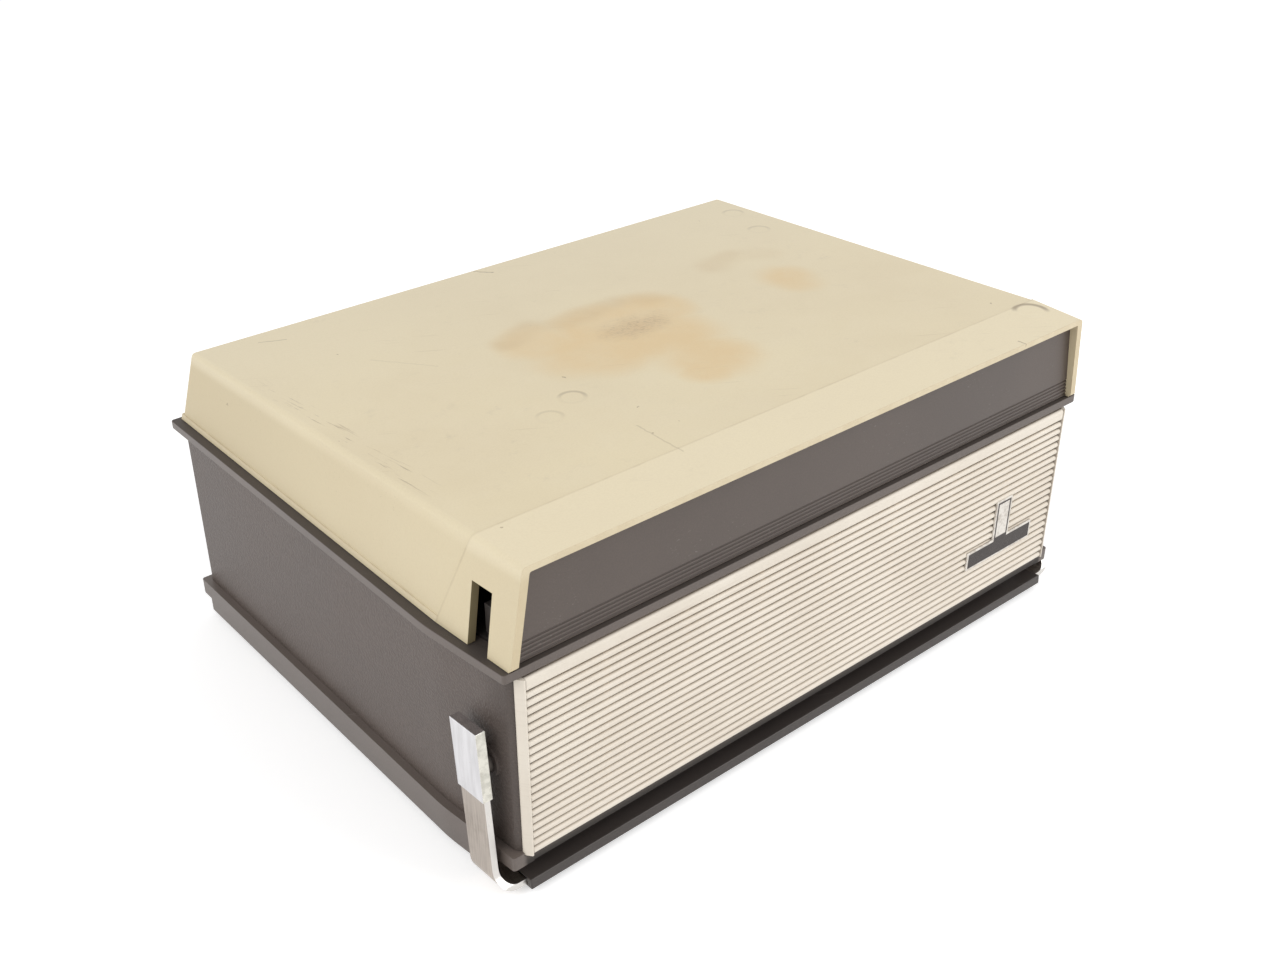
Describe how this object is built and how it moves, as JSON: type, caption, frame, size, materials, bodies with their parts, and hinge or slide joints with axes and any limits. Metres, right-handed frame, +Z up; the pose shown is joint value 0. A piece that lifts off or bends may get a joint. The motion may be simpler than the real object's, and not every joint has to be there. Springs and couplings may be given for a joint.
{
  "type": "reel-to-reel tape recorder",
  "caption": "Closed portable tape recorder: cream lift-off lid, grained grey-brown case, ribbed speaker grille, swinging steel carrying handle, and reels, keys and drive inside.",
  "frame": {"origin": "middle of the footprint, on the table", "axes": "+X to the right seen from the front, +Y to the rear, +Z up; the grille faces -Y"},
  "size_m": [0.391, 0.292, 0.1695],
  "materials": {
    "cream_plastic": "aged satin moulding",
    "case_plastic": "fine moulded grain",
    "grille_plastic": "satin",
    "key_plastic": "satin",
    "record_red": "satin",
    "black_plastic": "satin",
    "board": "painted board",
    "paper": "felted paper",
    "steel": "brushed nickel plate",
    "chrome": "bright chrome",
    "rubber": "matt",
    "bronze": "sintered",
    "laminate": "resin board",
    "capacitor": "sleeved",
    "tape": "wound tape",
    "window": "clear"
  },
  "bodies": {
    "case": {"base_tray": "case_plastic", "feet": "rubber", "rear_buffers": "rubber", "base_screws": "steel", "case_shell": "case_plastic", "speaker_grille": "grille_plastic", "name_plate": "black_plastic", "baffle_board": "board", "speaker_basket": "steel", "speaker_cone": "paper", "speaker_magnet": "steel", "socket_panel": "black_plastic", "mains_inlet": "black_plastic", "deck_rim": "case_plastic", "deck_plate": "case_plastic", "control_panel": "black_plastic", "head_cover": "grille_plastic", "record_head": "chrome", "erase_head": "steel", "tape_guides": "chrome", "chassis": "steel", "motor": "steel", "drive_belt": "rubber", "capstan_bearing": "bronze", "turntable_bushes": "bronze", "transformer": "steel", "amplifier_board": "laminate", "capacitors": "capacitor", "key_rod": "steel", "meter_case": "grille_plastic", "meter_window": "window", "counter_case": "black_plastic", "handle_pins": "steel", "catch_pins": "steel"},
    "lid": {"lid_shell": "cream_plastic", "lid_panel": "case_plastic"},
    "handle": {"handle_strap": "steel", "handle_grip": "black_plastic", "handle_caps": "chrome"},
    "left_catch": {"catch_left": "black_plastic"},
    "right_catch": {"catch_right": "black_plastic"},
    "supply": {"supply_reel": "key_plastic", "tape_pack": "tape", "supply_turntable": "black_plastic"},
    "takeup": {"takeup_reel": "key_plastic", "takeup_turntable": "black_plastic"},
    "capstan": {"flywheel": "steel"},
    "pulley": {"motor_pulley": "steel"},
    "pinch": {"pinch_arm": "steel"},
    "roller": {"pinch_roller": "rubber"},
    "record_key": {"key_record": "record_red"},
    "rewind_key": {"key_rewind": "key_plastic"},
    "stop_key": {"key_stop": "key_plastic"},
    "start_key": {"key_start": "key_plastic"},
    "forward_key": {"key_forward": "key_plastic"},
    "volume": {"volume_knob": "black_plastic"},
    "tone": {"tone_knob": "black_plastic"},
    "needle": {"meter_needle": "black_plastic"},
    "counter": {"counter_wheels": "key_plastic"},
    "reset": {"counter_button": "key_plastic"}
  },
  "joints": [
    {"name": "lid_lift", "type": "slide", "parent": "case", "child": "lid", "axis": [0, 0, 1], "range_m": [0, 0.08]},
    {"name": "handle_swing", "type": "hinge", "parent": "case", "child": "handle", "pos_m": [0, -0.1235, 0.066], "axis": [-1, 0, 0], "range_deg": [0, 95]},
    {"name": "left_catch_press", "type": "hinge", "parent": "case", "child": "left_catch", "pos_m": [-0.17329, -0.1236, 0.126], "axis": [0, 1, 0], "range_deg": [0, 8], "stiffness_Nm_per_rad": 0.05, "springref_deg": -5.73},
    {"name": "right_catch_press", "type": "hinge", "parent": "case", "child": "right_catch", "pos_m": [0.17329, -0.1236, 0.126], "axis": [0, -1, 0], "range_deg": [0, 8], "stiffness_Nm_per_rad": 0.05, "springref_deg": -5.73},
    {"name": "supply_spin", "type": "hinge", "parent": "case", "child": "supply", "pos_m": [-0.088, 0.05, 0.1205], "axis": [0, 0, 1], "continuous": true},
    {"name": "takeup_spin", "type": "hinge", "parent": "case", "child": "takeup", "pos_m": [0.088, 0.05, 0.1205], "axis": [0, 0, 1], "continuous": true},
    {"name": "capstan_spin", "type": "hinge", "parent": "case", "child": "capstan", "pos_m": [0.026, -0.0575, 0.08], "axis": [0, 0, 1], "continuous": true},
    {"name": "pulley_spin", "type": "hinge", "parent": "case", "child": "pulley", "pos_m": [-0.074, -0.0575, 0.08], "axis": [0, 0, 1], "continuous": true},
    {"name": "pinch_swing", "type": "hinge", "parent": "case", "child": "pinch", "pos_m": [0.054, -0.071, 0.1205], "axis": [0, 0, -1], "range_deg": [0, 5.2], "stiffness_Nm_per_rad": 0.05, "springref_deg": -5.73},
    {"name": "roller_spin", "type": "hinge", "parent": "pinch", "child": "roller", "pos_m": [0.026, -0.071, 0.1205], "axis": [0, 0, 1], "continuous": true},
    {"name": "record_key_press", "type": "hinge", "parent": "case", "child": "record_key", "pos_m": [-0.052, -0.0973, 0.1305], "axis": [1, 0, 0], "range_deg": [0, 7], "stiffness_Nm_per_rad": 0.2, "springref_deg": -5.73},
    {"name": "rewind_key_press", "type": "hinge", "parent": "case", "child": "rewind_key", "pos_m": [-0.026, -0.0973, 0.1305], "axis": [1, 0, 0], "range_deg": [0, 7], "stiffness_Nm_per_rad": 0.2, "springref_deg": -5.73},
    {"name": "stop_key_press", "type": "hinge", "parent": "case", "child": "stop_key", "pos_m": [0, -0.0973, 0.1305], "axis": [1, 0, 0], "range_deg": [0, 7], "stiffness_Nm_per_rad": 0.2, "springref_deg": -5.73},
    {"name": "start_key_press", "type": "hinge", "parent": "case", "child": "start_key", "pos_m": [0.026, -0.0973, 0.1305], "axis": [1, 0, 0], "range_deg": [0, 7], "stiffness_Nm_per_rad": 0.2, "springref_deg": -5.73},
    {"name": "forward_key_press", "type": "hinge", "parent": "case", "child": "forward_key", "pos_m": [0.052, -0.0973, 0.1305], "axis": [1, 0, 0], "range_deg": [0, 7], "stiffness_Nm_per_rad": 0.2, "springref_deg": -5.73},
    {"name": "volume_turn", "type": "hinge", "parent": "case", "child": "volume", "pos_m": [-0.1502, -0.1135, 0.123], "axis": [0, 0, -1], "range_deg": [0, 270]},
    {"name": "tone_turn", "type": "hinge", "parent": "case", "child": "tone", "pos_m": [-0.1102, -0.1135, 0.123], "axis": [0, 0, -1], "range_deg": [0, 270]},
    {"name": "needle_swing", "type": "hinge", "parent": "case", "child": "needle", "pos_m": [0.1062, -0.1215, 0.1235], "axis": [0, 0, -1], "range_deg": [0, 70], "stiffness_Nm_per_rad": 0.0005, "springref_deg": -2.86},
    {"name": "counter_turn", "type": "hinge", "parent": "case", "child": "counter", "pos_m": [0.1482, -0.1135, 0.1279], "axis": [1, 0, 0], "continuous": true},
    {"name": "reset_press", "type": "slide", "parent": "case", "child": "reset", "axis": [0, 0, -1], "range_m": [0, 0.0025], "stiffness_N_per_m": 200, "springref_m": -0.001}
  ],
  "couplings": [
    {"joint": "pulley_spin", "follows": "capstan_spin", "ratio": 6.3333}
  ]
}
